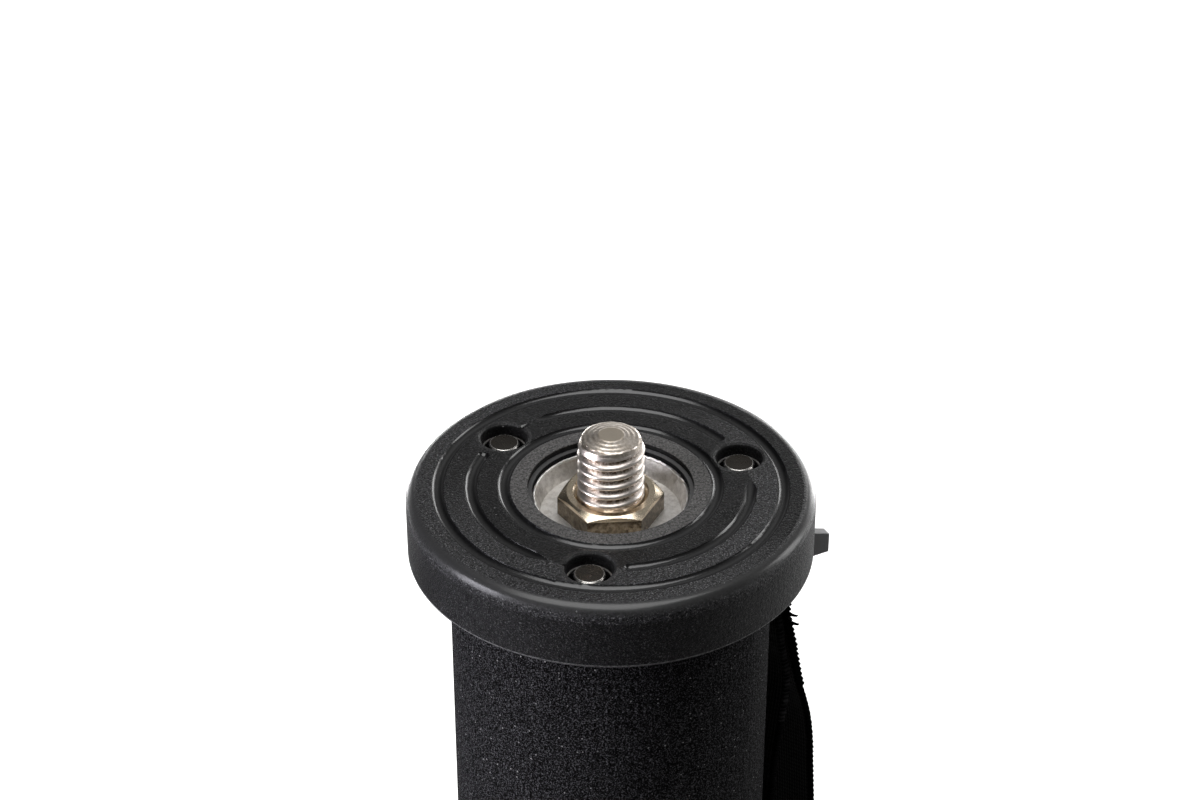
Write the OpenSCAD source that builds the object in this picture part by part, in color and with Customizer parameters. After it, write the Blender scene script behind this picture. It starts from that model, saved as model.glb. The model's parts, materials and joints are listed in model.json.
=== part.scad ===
/* [Head plate] */
// Diameter of the head plate
plate_d = 57.3; // [54:0.1:62]
// Height of the head plate
plate_h = 9.85; // [9:0.05:12]
// Rounding of the plate's upper edge
plate_edge_r = 1.7; // [0.8:0.1:2]
// Side wall of the plate's shell
plate_wall = 2.2; // [2:0.1:3]
// Thickness of the plate's top skin
plate_skin = 1.9; // [1.6:0.1:2.4]
// Bevel along the plate's lower edge
plate_lip = 0.3; // [0.2:0.05:0.5]
// Radius of the round recess round the stud
recess_r = 11.65; // [11.3:0.05:12.2]
// How far the recess wall steps in halfway down
recess_step = 0.6; // [0.3:0.05:0.8]
// Angle of the first set screw, from the strap lug
plate_turn = -6.6; // [-20:0.2:20]

/* [Plate grooves] */
// Radius of the innermost groove
groove_r = 14.95; // [14.6:0.05:15.2]
// Distance from one groove to the next
groove_pitch = 4.6; // [4.3:0.05:4.8]
// Width of a groove
groove_w = 1.76; // [1.2:0.02:2]
// Depth of a groove
groove_depth = 0.48; // [0.3:0.02:0.7]
// Angle that the middle groove stops short of a set screw
groove_stop = 16; // [14:0.2:20]

/* [Stud] */
// Major diameter of the threaded stud
stud_d = 9.45; // [8:0.05:10]
// Height of the stud above the plate
stud_rise = 8.5; // [6:0.1:12]
// Length of the stud below the lock nut
stud_grip = 9; // [7:0.5:11]
// Height of the stud's cone end
stud_cone_h = 0.6; // [0.4:0.1:1.5]
// Diameter of the stud's flat tip
stud_tip_d = 3.8; // [3:0.1:5]
// Diameter where the stud's cone meets its thread
stud_cone_d = 8.2; // [7:0.1:8.6]
// Height of the runout under the stud's thread
runout_h = 0.8; // [0.5:0.1:1.2]
// Depth of that runout
runout_depth = 0.6; // [0.3:0.1:0.8]
// Width of the lock nut across its flats
nut_af = 13; // [12.4:0.1:13.6]
// Depth of the nut's top under the plate
nut_sink = 0.95; // [0.6:0.05:1.2]
// Height of the lock nut
nut_h = 3.5; // [3:0.1:4]
// Bevel round the nut's thread
nut_countersink = 0.6; // [0.3:0.05:0.8]
// Width of the flat between the nut's bevel and its sides
nut_rim = 0.3; // [0.1:0.05:0.5]
// Turn of the lock nut
nut_turn = -23.7; // [-60:0.1:60]

/* [Plate core] */
// Radius of the cast cup at its rim
cup_r = 10.7; // [10.3:0.05:10.9]
// How much narrower the cup is at its floor
cup_draft = 0.8; // [0.2:0.1:1]
// Radius of the spigot's bore
spigot_bore_r = 10.5; // [9:0.5:11.5]
// Length of the spigot in the upper tube
spigot_l = 28; // [24:1:36]
// Thickness of the cast floor under the cup
core_floor = 7; // [6:0.5:9]
// Radius of the rivets that hold the spigot
rivet_r = 1.6; // [1.2:0.1:2]
// Distance from the tube's end to the rivets
rivet_drop = 14; // [10:1:18]

/* [Set screws] */
// Radius of a set screw's thread
screw_r = 2.95; // [2.5:0.05:3]
// Length of a set screw
screw_l = 8; // [7:0.1:8.2]
// Depth of a set screw's flat under the plate
screw_sink = 1; // [0.5:0.1:1.4]
// Radius of a set screw's flat point
screw_flat_r = 2; // [1.5:0.05:2.3]
// Width of a set screw's key socket
screw_key = 3; // [2:0.5:3]
// Depth of the key socket
screw_key_depth = 3; // [2:0.2:4]
// Radius of the hole in the plate over a set screw
screw_hole_r = 3.2; // [3.1:0.02:3.3]
// Bevel round that hole
screw_hole_bevel = 0.42; // [0.2:0.02:0.5]

/* [Strap] */
// Height of the strap collar under the plate
collar_h = 3.6; // [3:0.1:5]
// Radius of the strap collar
collar_r = 22.6; // [22:0.1:22.8]
// Half width of the strap lug
lug_half_w = 10.45; // [10:0.05:12]
// Reach of the strap lug from the axis
lug_reach = 29.95; // [29:0.05:31]
// Thickness of the lug
lug_t = 3.1; // [2.8:0.1:3.4]
// Width of each arm of the lug
lug_arm = 1.5; // [1.2:0.1:2]
// How much higher each arm is at its root than at its end
lug_rise = 1.4; // [0.6:0.1:1.5]
// Length of the slope between them
lug_slope = 4; // [2:0.5:6]
// Radius of the lug's round bar
bar_r = 1.5; // [1.3:0.05:1.55]
// Distance of the bar's centre from the lug's end
bar_inset = 3.9; // [3:0.1:4]
// Depth of the bar's centre under the plate's bottom
bar_drop = 3.5; // [3.05:0.05:3.6]
// Width of the webbing
strap_w = 16.4; // [15:0.1:17.6]
// Thickness of the webbing
strap_t = 1; // [0.8:0.1:1.1]
// Depth of the hanging loop's end under the plate
strap_fall = 173.5; // [160:0.5:185]
// How far the hanging loop stands off the grip
strap_bow = 11.8; // [10:0.2:14]

/* [Grip] */
// Diameter of the foam grip
grip_d = 45.6; // [44:0.2:45.8]
// Length of the foam grip
grip_l = 246; // [220:2:270]
// Rounding of the foam's ends
grip_round = 2.5; // [1:0.5:4]
// Height of the ring under the grip
ring_h = 8; // [5:0.5:12]
// Wall of that ring
ring_wall = 3.4; // [2:0.2:5]
// Length of bare tube under the ring
bare_l = 112; // [60:2:140]

/* [Leg tubes] */
// Outer diameter of the upper tube
tube_1_d = 32; // [31.6:0.2:32.4]
// Outer diameter of the second tube
tube_2_d = 27; // [26.8:0.1:27.2]
// Outer diameter of the third tube
tube_3_d = 22.4; // [22.2:0.1:22.6]
// Outer diameter of the lowest tube
tube_4_d = 18; // [17.6:0.1:18.2]
// Wall of every tube
tube_wall = 1.2; // [1:0.05:1.25]
// Length of the guide bush on each sliding tube
bush_l = 40; // [30:1:50]
// Lip of a guide bush over its tube's end
bush_lip = 1.2; // [0.8:0.1:2]
// Room over the top of each nested tube
nest_room = 3; // [2:0.5:6]

/* [Leg locks] */
// Height of a lock
lock_h = 34; // [32:0.5:40]
// Height of a lock's split clamp
clamp_h = 17; // [16.5:0.5:18]
// Space between closed locks
lock_gap = 1; // [0.6:0.1:3]
// Wall of a lock outside its tube
lock_wall = 3.4; // [3:0.1:4]
// Ledge that a tube's end stands on
ledge_t = 2; // [1.5:0.1:2.4]
// Width of the clamp's slit
slit_w = 1.8; // [1.2:0.1:2.4]
// Thickness of each clamp ear
ear_t = 5; // [4:0.1:6]
// Reach of the ears outside the lock
ear_reach = 9.2; // [8.6:0.1:10]
// Height of the relief cut over the clamp
relief_h = 1.2; // [0.8:0.1:1.4]
// Wall of the friction shim
shim_t = 1.3; // [1:0.05:1.4]
// Turn of the locks' ears from the strap lug
lock_turn = 180; // [90:5:270]

/* [Lock levers] */
// Radius of the lever's cam
cam_r = 4.2; // [3.8:0.1:4.4]
// Throw of the cam
cam_throw = 0.6; // [0.3:0.05:0.8]
// Height of a lever
lever_h = 14; // [12:0.5:14]
// Thickness of a lever's arm
lever_t = 3.4; // [2.6:0.1:4]
// Bead at each end of a lever's arm
lever_bead = 0.5; // [0.2:0.1:0.8]
// Angle round the lock that a lever's arm covers
lever_wrap = 112; // [80:2:130]
// Angle from a lever's pin to the start of its arm
lever_lead = 18; // [16:1:20]
// Radius of a lever's pin
lever_pin_r = 1.5; // [1.2:0.1:1.8]
// Radius of the clamp bolt
clamp_bolt_r = 2; // [1.8:0.1:2.3]
// Length of the clamp bolt outside its nut
bolt_tail = 1; // [0.5:0.1:2]
// Thickness of the bolt's eye
eye_t = 5; // [4:0.1:5.4]
// Radius of the bolt's eye
eye_r = 3.6; // [3.2:0.1:3.7]
// Thickness of the wear plate under the cam
wear_t = 1; // [0.6:0.1:1.4]
// Width of the clamp nut across its flats
clamp_nut_af = 7; // [6.6:0.2:8]
// Height of the clamp nut
clamp_nut_h = 3.4; // [3:0.1:4]
// Radius of the grub screw that holds a lock on its tube
grub_r = 1.5; // [1.2:0.1:2]

/* [Foot] */
// Height of the rubber foot
foot_h = 27; // [26:0.5:34]
// Radius of the rubber foot's sole
foot_r = 13.5; // [12:0.5:15]
// Thickness of rubber under the tube
foot_sole_t = 10; // [8:0.5:12]
// Wall of rubber round the tube
foot_wall = 2.4; // [2:0.1:3]
// Width of the bevel round the sole
foot_bevel = 1.5; // [1:0.1:2]
// Height of the taper from the sole up to the waist
foot_taper = 4; // [3:0.5:5]
// Space between the foot and the lowest lock
foot_room = 6; // [4:0.5:12]
// Length of the plug in the lowest tube
plug_l = 22; // [16:1:30]
// Radius of the screw that joins the foot to its plug
foot_screw_r = 3; // [2.5:0.1:3.5]

/* [Clearances] */
// Gap between pieces that are fixed to each other
seat_gap = 0.05; // [0.03:0.01:0.1]
// Gap between tubes and bushes that slide
slide_gap = 0.15; // [0.1:0.01:0.2]
// Gap round a pin that turns
turn_gap = 0.06; // [0.04:0.01:0.1]
// Gap round soft pieces
soft_gap = 0.3; // [0.2:0.05:0.4]
// Gap between a closed lever and its lock
lever_gap = 0.9; // [0.7:0.05:1.2]
// Gap between the cam and its wear plate
cam_gap = 0.15; // [0.1:0.01:0.2]

/* [Hidden] */

$fn = 96;
cut = 0.01;

// Tubes by section, from the upper one down
tube_d = [tube_1_d, tube_2_d, tube_3_d, tube_4_d];
function tube_r(i) = tube_d[i - 1] / 2;
function tube_in_r(i) = tube_r(i) - tube_wall;

// The set screws stand on the middle groove
screw_circle_r = groove_r + groove_pitch;

// Heights from the ground, closed
function lock_z(i) = foot_h + foot_room + (3 - i) * (lock_h + lock_gap);
lock_top_z = lock_z(1) + lock_h;
ring_z = lock_top_z + bare_l;
grip_z = ring_z + ring_h;
collar_z = grip_z + grip_l;
plate_z = collar_z + collar_h;
plate_top_z = plate_z + plate_h;
core_top_z = plate_top_z - plate_skin;
nut_z = plate_top_z - nut_sink - nut_h;
spigot_z = plate_z - spigot_l;
bar_z = plate_z - bar_drop;

// A sliding tube ends inside the tube over it, and stops at that tube's ledge
function tube_low_z(i) = i == 4 ? foot_sole_t : lock_z(i) + clamp_h;
function tube_high_z(i) = i == 1 ? plate_z : spigot_z - (i - 1) * (nest_room + bush_lip);
function bush_low_z(i) = tube_high_z(i) - bush_l;
function slide_travel(i) = bush_low_z(i) - tube_low_z(i - 1) - nest_room;

// Lock geometry about its own axis, with the ears along +X
function lock_r(i) = tube_r(i) + lock_wall;
function shim_in_r(i) = tube_r(i + 1) + slide_gap;
function shim_out_r(i) = shim_in_r(i) + shim_t;
function bolt_x(i) = lock_r(i) + ear_reach / 2;
ear_face = slit_w / 2 + ear_t;
pin_y = -(ear_face + wear_t + cam_gap + cam_r + cam_throw);
ear_rim = 1;
ear_h = clamp_h - relief_h - ledge_t / 2 - ear_rim;
function bolt_z(i) = lock_z(i) + ear_rim + ear_h / 2;
fork_gap = 0.3;

// Groove of the right width and depth cut by a round tool
groove_tool_r = (groove_w * groove_w / 4 + groove_depth * groove_depth) / (2 * groove_depth);
groove_tool_z = groove_tool_r - groove_depth;

// Webbing loop in the plane through the lug: x from the axis and drop under the plate's top, with its
// points as shares of how far the loop stands off the grip and how deep it hangs
wrap_r = bar_r + soft_gap / 2 + strap_t / 2;
bar_x = lug_reach - bar_inset;
stack_step = strap_t + soft_gap;
grip_side = grip_d / 2 + soft_gap + strap_t / 2;
sewn = [[0, 0.141], [0.076, 0.184], [0.17, 0.225]];
outer_share = [
  [0.525, 0.277], [0.61, 0.346], [0.763, 0.519], [0.983, 0.72], [1, 0.865], [0.847, 0.963]
];
inner_share = [
  [0.186, 0.963], [0.051, 0.865], [0.017, 0.692], [0, 0.519], [0.017, 0.346], [0.102, 0.277]
];
function hung(share, off = 0) = [grip_side + off + share[0] * strap_bow, -share[1] * strap_fall];
outer_leg = concat(
  [hung([0.34, 0.0893]), hung([0.2, 0.1124])],
  [for (p = sewn) hung(p, stack_step)],
  [for (p = outer_share) hung(p)]
);
inner_leg = concat(
  [for (p = inner_share) hung(p)],
  [for (i = [len(sewn) - 1:-1:0]) hung(sewn[i])],
  [hung([0.008, 0.1124]), hung([0.017, 0.0893])]
);
loop_end = hung([0.525, 1]);
over_bar = [for (a = [180:-45:0]) [bar_x + wrap_r * cos(a), bar_z - plate_top_z + wrap_r * sin(a)]];

// A smooth closed curve through points, by cubic steps between neighbours
function spline_at(a, b, c, d, t) =
  0.5 * (2 * b + (c - a) * t + (2 * a - 5 * b + 4 * c - d) * t * t + (3 * b - a - 3 * c + d) * t * t * t);
function spline(p, steps) =
  let (n = len(p))
  [for (i = [0:n - 1], s = [0:steps - 1])
    spline_at(p[(i + n - 1) % n], p[i], p[(i + 1) % n], p[(i + 2) % n], s / steps)];
function side_line(p, off) =
  let (n = len(p))
  [for (i = [0:n - 1])
    let (v = p[(i + 1) % n] - p[(i + n - 1) % n], u = v / norm(v))
    p[i] + off * [u[1], -u[0]]];
strap_points = concat(over_bar, outer_leg, [loop_end], inner_leg);
strap_line = spline(strap_points, 4);

echo(plate_top = plate_top_z, travel = [for (i = [2:4]) slide_travel(i)]);
echo(lock_pins = [for (i = [1:3]) [bolt_x(i), pin_y, bolt_z(i)]], bar = [bar_x, bar_z]);

// A round bar with its ends bevelled
module bevelled(r, h, bevel) {
  rotate_extrude()
    polygon([[0, 0], [r - bevel, 0], [r, bevel], [r, h - bevel], [r - bevel, h], [0, h]]);
}

// A pipe of two radii
module pipe(r_out, r_in, h) {
  difference() {
    cylinder(r = r_out, h = h);
    translate([0, 0, -cut])
      cylinder(r = r_in, h = h + 2 * cut);
  }
}

// A six-sided bar of a width across its flats
module hexagon(af, h) {
  cylinder(r = af / sqrt(3), h = h, $fn = 6);
}

module at_set_screw(i) {
  rotate([0, 0, plate_turn + (i - 1) * 120])
    translate([screw_circle_r, 0, 0])
      children();
}

// Section of the plate's shell: skin, rounded edge, wall and stepped recess
module plate_section() {
  difference() {
    union() {
      square([plate_d / 2, plate_h - plate_edge_r]);
      square([plate_d / 2 - plate_edge_r, plate_h]);
      translate([plate_d / 2 - plate_edge_r, plate_h - plate_edge_r])
        circle(r = plate_edge_r);
    }
    translate([-cut, -cut])
      square([plate_d / 2 - plate_wall + cut, plate_h - plate_skin + cut]);
    polygon([
      [-cut, plate_h + cut], [recess_r, plate_h + cut], [recess_r, plate_h - plate_skin / 2],
      [recess_r - recess_step, plate_h - plate_skin / 2], [recess_r - recess_step, 0], [-cut, 0]
    ]);
    polygon([
      [plate_d / 2 - plate_lip, -cut], [plate_d / 2 + cut, -cut], [plate_d / 2 + cut, plate_lip]
    ]);
  }
}

module groove_ring(r) {
  rotate_extrude()
    translate([r, 0])
      circle(r = groove_tool_r);
}

// One third of the middle groove, with round ends short of the set screws
module groove_arc(r, from, to) {
  rotate([0, 0, from])
    rotate_extrude(angle = to - from)
      translate([r, 0])
        circle(r = groove_tool_r);
  for (a = [from, to])
    rotate([0, 0, a])
      translate([r, 0, 0])
        sphere(r = groove_tool_r);
}

module top_plate() {
  color("#2b2b2d")
    difference() {
      translate([0, 0, plate_z])
        rotate_extrude()
          plate_section();
      translate([0, 0, plate_top_z + groove_tool_z]) {
        for (g = [0, 2])
          groove_ring(groove_r + g * groove_pitch);
        for (i = [0:2])
          rotate([0, 0, plate_turn + i * 120])
            groove_arc(groove_r + groove_pitch, groove_stop, 120 - groove_stop);
      }
      for (i = [1:3])
        at_set_screw(i) {
          translate([0, 0, core_top_z - cut])
            cylinder(r = screw_hole_r, h = plate_skin + 2 * cut);
          translate([0, 0, plate_top_z - screw_hole_bevel])
            cylinder(
              r1 = screw_hole_r,
              r2 = screw_hole_r + screw_hole_bevel + cut,
              h = screw_hole_bevel + cut
            );
        }
    }
}

// Cast core: a disc with the nut's cup, a floor for the stud and a spigot for the upper tube
module plate_core() {
  core_h = plate_h - plate_skin;
  color("#b9b4ac")
    difference() {
      union() {
        translate([0, 0, plate_z])
          cylinder(r = plate_d / 2 - plate_wall - seat_gap, h = core_h - seat_gap);
        translate([0, 0, spigot_z])
          cylinder(r = tube_in_r(1) - seat_gap, h = spigot_l + cut);
      }
      translate([0, 0, nut_z])
        cylinder(r1 = cup_r - cup_draft, r2 = cup_r, h = core_top_z - nut_z);
      translate([0, 0, spigot_z - cut])
        cylinder(r = spigot_bore_r, h = nut_z - core_floor - spigot_z + cut);
      translate([0, 0, nut_z - core_floor - cut])
        cylinder(r = stud_d / 2 + seat_gap, h = core_floor + 2 * cut);
      for (i = [1:3])
        at_set_screw(i)
          translate([0, 0, plate_z - cut])
            cylinder(r = screw_r + turn_gap, h = core_h + 2 * cut);
      at_rivets()
        cylinder(r = rivet_r + seat_gap, h = tube_r(1) + cut);
    }
}

// Stud with a runout over the lock nut and a flat cone end
module camera_stud() {
  r = stud_d / 2;
  nut_top = -nut_sink;
  low = nut_top - nut_h - stud_grip;
  color("#c9c4ba")
    translate([0, 0, plate_top_z])
      rotate_extrude()
        polygon([
          [0, low], [r - runout_depth, low], [r, low + runout_depth], [r, nut_top],
          [r - runout_depth, nut_top], [r - runout_depth, nut_top + runout_h],
          [r, nut_top + runout_h], [r, stud_rise - stud_cone_h - (r - stud_cone_d / 2)],
          [stud_cone_d / 2, stud_rise - stud_cone_h], [stud_tip_d / 2, stud_rise], [0, stud_rise]
        ]);
}

// Six-sided lock nut with its top corners turned off
module stud_nut() {
  corner_r = nut_af / sqrt(3);
  face_r = nut_af / 2 - nut_rim;
  drop = (corner_r - face_r) * tan(30);
  color("#b7a98c")
    translate([0, 0, nut_z])
      rotate([0, 0, nut_turn])
        difference() {
          intersection() {
            hexagon(nut_af, nut_h);
            rotate_extrude()
              polygon([
                [0, 0], [corner_r + cut, 0], [corner_r + cut, nut_h - drop], [face_r, nut_h], [0, nut_h]
              ]);
          }
          translate([0, 0, -cut])
            cylinder(r = stud_d / 2 + seat_gap, h = nut_h + 2 * cut);
          translate([0, 0, nut_h - nut_countersink])
            cylinder(r1 = stud_d / 2, r2 = stud_d / 2 + nut_countersink + cut, h = nut_countersink + cut);
        }
}

// Set screw with a flat point on top and a key socket below
module set_screw(i) {
  top = plate_top_z - screw_sink;
  bevel = screw_r - screw_flat_r;
  color("#7d756a")
    at_set_screw(i)
      translate([0, 0, top - screw_l])
        difference() {
          rotate_extrude()
            polygon([
              [0, 0], [screw_r, 0], [screw_r, screw_l - bevel], [screw_flat_r, screw_l], [0, screw_l]
            ]);
          translate([0, 0, -cut])
            hexagon(screw_key, screw_key_depth);
        }
}

module at_rivets() {
  for (a = [60, 180, 300])
    translate([0, 0, plate_z - rivet_drop])
      rotate([0, 90, a])
        children();
}

module head_rivets() {
  color("#9a9a9a")
    at_rivets()
      translate([0, 0, spigot_bore_r])
        cylinder(r = rivet_r, h = tube_r(1) - spigot_bore_r - seat_gap);
}

// Ring under the plate with a lug and its round bar for the strap
module strap_collar() {
  lug_low = bar_z - lug_t / 2;
  slot_half = lug_half_w - lug_arm;
  color("#7c7c7d")
    difference() {
      union() {
        translate([0, 0, collar_z])
          cylinder(r = collar_r, h = collar_h);
        for (s = [-1, 1])
          translate([0, s * (lug_half_w - lug_arm / 2) + lug_arm / 2, lug_low])
            rotate([90, 0, 0])
              linear_extrude(lug_arm)
                polygon([
                  [0, 0], [lug_reach, 0], [lug_reach, lug_t],
                  [lug_reach - lug_slope, lug_t + lug_rise], [0, lug_t + lug_rise]
                ]);
        translate([bar_x, slot_half + lug_arm / 2, bar_z])
          rotate([90, 0, 0])
            cylinder(r = bar_r, h = 2 * slot_half + lug_arm);
      }
      translate([0, 0, lug_low - cut])
        cylinder(r = tube_r(1) + seat_gap, h = collar_h + lug_t);
      translate([0, 0, lug_low - lug_t])
        cylinder(r = grip_d / 2 + soft_gap, h = collar_z - lug_low + lug_t);
      for (i = [1:3])
        at_set_screw(i)
          translate([0, 0, collar_z - cut])
            cylinder(r = screw_flat_r, h = collar_h + 2 * cut);
    }
}

// Webbing loop hung on the lug's bar
module wrist_strap() {
  color("#111113")
    translate([0, strap_w / 2, plate_top_z])
      rotate([90, 0, 0])
        linear_extrude(strap_w)
          difference() {
            polygon(side_line(strap_line, -strap_t / 2));
            polygon(side_line(strap_line, strap_t / 2));
          }
}

// Foam sleeve with softly rounded ends
module foam_grip() {
  r_in = tube_r(1) + seat_gap;
  r_out = grip_d / 2;
  h = grip_l - 2 * soft_gap;
  color("#232325")
    translate([0, 0, grip_z + soft_gap])
      rotate_extrude() {
        translate([r_in, 0])
          square([r_out - grip_round - r_in, h]);
        translate([r_in, grip_round])
          square([r_out - r_in, h - 2 * grip_round]);
        for (z = [grip_round, h - grip_round])
          translate([r_out - grip_round, z])
            circle(r = grip_round);
      }
}

module grip_ring() {
  color("#7c7c7d")
    translate([0, 0, ring_z])
      difference() {
        bevelled(tube_r(1) + ring_wall, ring_h, ring_wall / 4);
        translate([0, 0, -cut])
          cylinder(r = tube_r(1) + seat_gap, h = ring_h + 2 * cut);
      }
}

module tube(i) {
  color(i == 1 ? "#2a2b2d" : "#727375")
    difference() {
      translate([0, 0, tube_low_z(i)])
        pipe(tube_r(i), tube_in_r(i), tube_high_z(i) - tube_low_z(i));
      if (i == 1)
        at_rivets()
          cylinder(r = rivet_r + seat_gap, h = tube_r(1) + cut);
    }
}

// Sleeve that guides a sliding tube, with a lip over the tube's end
module guide_bush(i) {
  r_out = tube_in_r(i - 1) - slide_gap;
  color("#d8d6d0")
    translate([0, 0, bush_low_z(i)])
      difference() {
        cylinder(r = r_out, h = bush_l + bush_lip);
        translate([0, 0, -cut])
          cylinder(r = tube_r(i) + seat_gap, h = bush_l + cut);
        cylinder(r = tube_in_r(i), h = bush_l + bush_lip + cut);
      }
}

module at_lock(i) {
  rotate([0, 0, lock_turn])
    children();
}

// Lock body: a socket on the upper tube over a split clamp with two ears
module lock_collar(i) {
  r = lock_r(i);
  z = lock_z(i);
  color("#19191b")
    at_lock(i)
      difference() {
        union() {
          translate([0, 0, z])
            bevelled(r, lock_h, lock_wall / 3);
          translate([r - lock_wall, -ear_face, z + ear_rim])
            cube([lock_wall + ear_reach, 2 * ear_face, ear_h]);
        }
        translate([0, 0, z + clamp_h])
          cylinder(r = tube_r(i) + seat_gap, h = lock_h - clamp_h + cut);
        translate([0, 0, z - cut])
          cylinder(r = tube_r(i + 1) + 2 * slide_gap, h = lock_h);
        translate([0, 0, z - cut])
          cylinder(r = shim_out_r(i) + seat_gap, h = clamp_h - ledge_t + cut);
        translate([0, -slit_w / 2, z - cut])
          cube([r + ear_reach + cut, slit_w, clamp_h - ledge_t + cut]);
        translate([tube_r(i) / 4, -r, z + clamp_h - ledge_t - relief_h])
          cube([r, 2 * r, relief_h]);
        translate([bolt_x(i), 0, bolt_z(i)])
          rotate([90, 0, 0])
            cylinder(r = clamp_bolt_r + slide_gap, h = 2 * ear_face + 2 * cut, center = true);
        translate([0, 0, z + (lock_h + clamp_h) / 2])
          rotate([0, -90, 0])
            cylinder(r = grub_r + seat_gap, h = r + cut);
      }
}

module lock_shim(i) {
  h = clamp_h - ledge_t - seat_gap;
  color("#8d8a84")
    at_lock(i)
      translate([0, 0, lock_z(i)])
        difference() {
          pipe(shim_out_r(i), shim_in_r(i), h);
          translate([0, -slit_w / 2, -cut])
            cube([shim_out_r(i) + cut, slit_w, h + 2 * cut]);
        }
}

// Plan of a lever: a cam, a short web and an arm bent round the lock
module lever_plan(i) {
  r_in = lock_r(i) + lever_gap;
  r_mid = r_in + lever_t / 2;
  pin = [bolt_x(i), pin_y];
  start = atan2(pin_y, bolt_x(i)) - lever_lead;
  foot = r_mid * [cos(start), sin(start)];
  tip = (r_mid + lever_bead / 2) * [cos(start - lever_wrap), sin(start - lever_wrap)];
  along = atan2(foot[1] - pin[1], foot[0] - pin[0]);
  translate([pin[0], pin[1] + cam_throw])
    circle(r = cam_r);
  translate(pin)
    rotate(along)
      translate([0, -lever_t / 2])
        square([norm(foot - pin), lever_t]);
  translate(foot)
    circle(r = lever_t / 2 + lever_bead);
  intersection() {
    difference() {
      circle(r = r_in + lever_t);
      circle(r = r_in);
    }
    polygon(concat(
      [[0, 0]],
      [for (a = [0:lever_wrap / 2:lever_wrap]) 2 * r_in * [cos(start - a), sin(start - a)]]
    ));
  }
  translate(tip)
    circle(r = lever_t / 2 + lever_bead);
}

// Lever with a fork over the bolt's eye
module lock_lever(i) {
  color("#232326")
    at_lock(i)
      difference() {
        translate([0, 0, bolt_z(i) - lever_h / 2])
          linear_extrude(lever_h)
            lever_plan(i);
        translate([bolt_x(i), pin_y, bolt_z(i) - lever_h / 2 - cut])
          cylinder(r = lever_pin_r + turn_gap, h = lever_h + 2 * cut);
        translate([bolt_x(i), pin_y, bolt_z(i) - eye_t / 2 - fork_gap])
          cylinder(r = cam_r + cam_throw + lever_t / 2, h = eye_t + 2 * fork_gap);
      }
}

module lever_pin(i) {
  color("#c2c2c2")
    at_lock(i)
      translate([bolt_x(i), pin_y, bolt_z(i) - lever_h / 2])
        cylinder(r = lever_pin_r, h = lever_h);
}

// Bolt through the ears, with an eye for the lever's pin
module clamp_bolt(i) {
  tail = ear_face + clamp_nut_h + bolt_tail;
  color("#b5b5b5")
    at_lock(i)
      translate([bolt_x(i), 0, bolt_z(i)])
        difference() {
          union() {
            translate([0, tail, 0])
              rotate([90, 0, 0])
                cylinder(r = clamp_bolt_r, h = tail - pin_y - lever_pin_r);
            translate([0, pin_y, -eye_t / 2])
              cylinder(r = eye_r, h = eye_t);
          }
          translate([0, pin_y, -eye_t / 2 - cut])
            cylinder(r = lever_pin_r + seat_gap, h = eye_t + 2 * cut);
        }
}

module wear_plate(i) {
  color("#a8a8a8")
    at_lock(i)
      translate([bolt_x(i), -ear_face, bolt_z(i)])
        rotate([90, 0, 0])
          pipe(ear_reach / 2, clamp_bolt_r + seat_gap, wear_t);
}

module clamp_nut(i) {
  color("#c2c2c2")
    at_lock(i)
      translate([bolt_x(i), ear_face + clamp_nut_h, bolt_z(i)])
        rotate([90, 0, 0])
          difference() {
            hexagon(clamp_nut_af, clamp_nut_h);
            translate([0, 0, -cut])
              cylinder(r = clamp_bolt_r + seat_gap, h = clamp_nut_h + 2 * cut);
          }
}

module lock_grub(i) {
  color("#8a8a8a")
    at_lock(i)
      translate([-(tube_r(i) + seat_gap), 0, lock_z(i) + (lock_h + clamp_h) / 2])
        rotate([0, -90, 0])
          difference() {
            cylinder(r = grub_r, h = lock_wall - 4 * seat_gap);
            translate([0, 0, lock_wall / 2])
              hexagon(grub_r, lock_wall);
          }
}

module foot_plug() {
  color("#7c7c7d")
    translate([0, 0, foot_sole_t])
      pipe(tube_in_r(4) - seat_gap, foot_screw_r + seat_gap, plug_l);
}

// Screw that runs from the plug into the rubber
module foot_screw() {
  color("#b5b5b5")
    translate([0, 0, foot_sole_t / 2])
      cylinder(r = foot_screw_r, h = foot_sole_t / 2 + plug_l);
}

// Rubber cap over the lowest tube, with a flat sole and a drawn-in waist
module rubber_foot() {
  waist_r = tube_r(4) + foot_wall;
  color("#161617")
    difference() {
      rotate_extrude()
        polygon([
          [0, 0], [foot_r - foot_bevel, 0], [foot_r, foot_bevel], [foot_r, foot_sole_t - foot_taper],
          [waist_r, foot_sole_t], [waist_r, foot_h - foot_bevel], [waist_r - foot_bevel / 2, foot_h],
          [0, foot_h]
        ]);
      translate([0, 0, foot_sole_t])
        cylinder(r = tube_r(4) + seat_gap, h = foot_h);
      translate([0, 0, foot_sole_t / 2])
        cylinder(r = foot_screw_r + seat_gap, h = foot_h);
    }
}

top_plate();
plate_core();
camera_stud();
stud_nut();
for (i = [1:3])
  set_screw(i);
head_rivets();
strap_collar();
wrist_strap();
foam_grip();
grip_ring();
for (i = [1:4])
  tube(i);
for (i = [2:4])
  guide_bush(i);
for (i = [1:3]) {
  lock_collar(i);
  lock_shim(i);
  lock_lever(i);
  lever_pin(i);
  clamp_bolt(i);
  wear_plate(i);
  clamp_nut(i);
  lock_grub(i);
}
foot_plug();
foot_screw();
rubber_foot();
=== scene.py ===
import json
from math import atan2, cos, hypot, pi, radians, sin

import bpy
from mathutils import Matrix, Vector, noise


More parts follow.
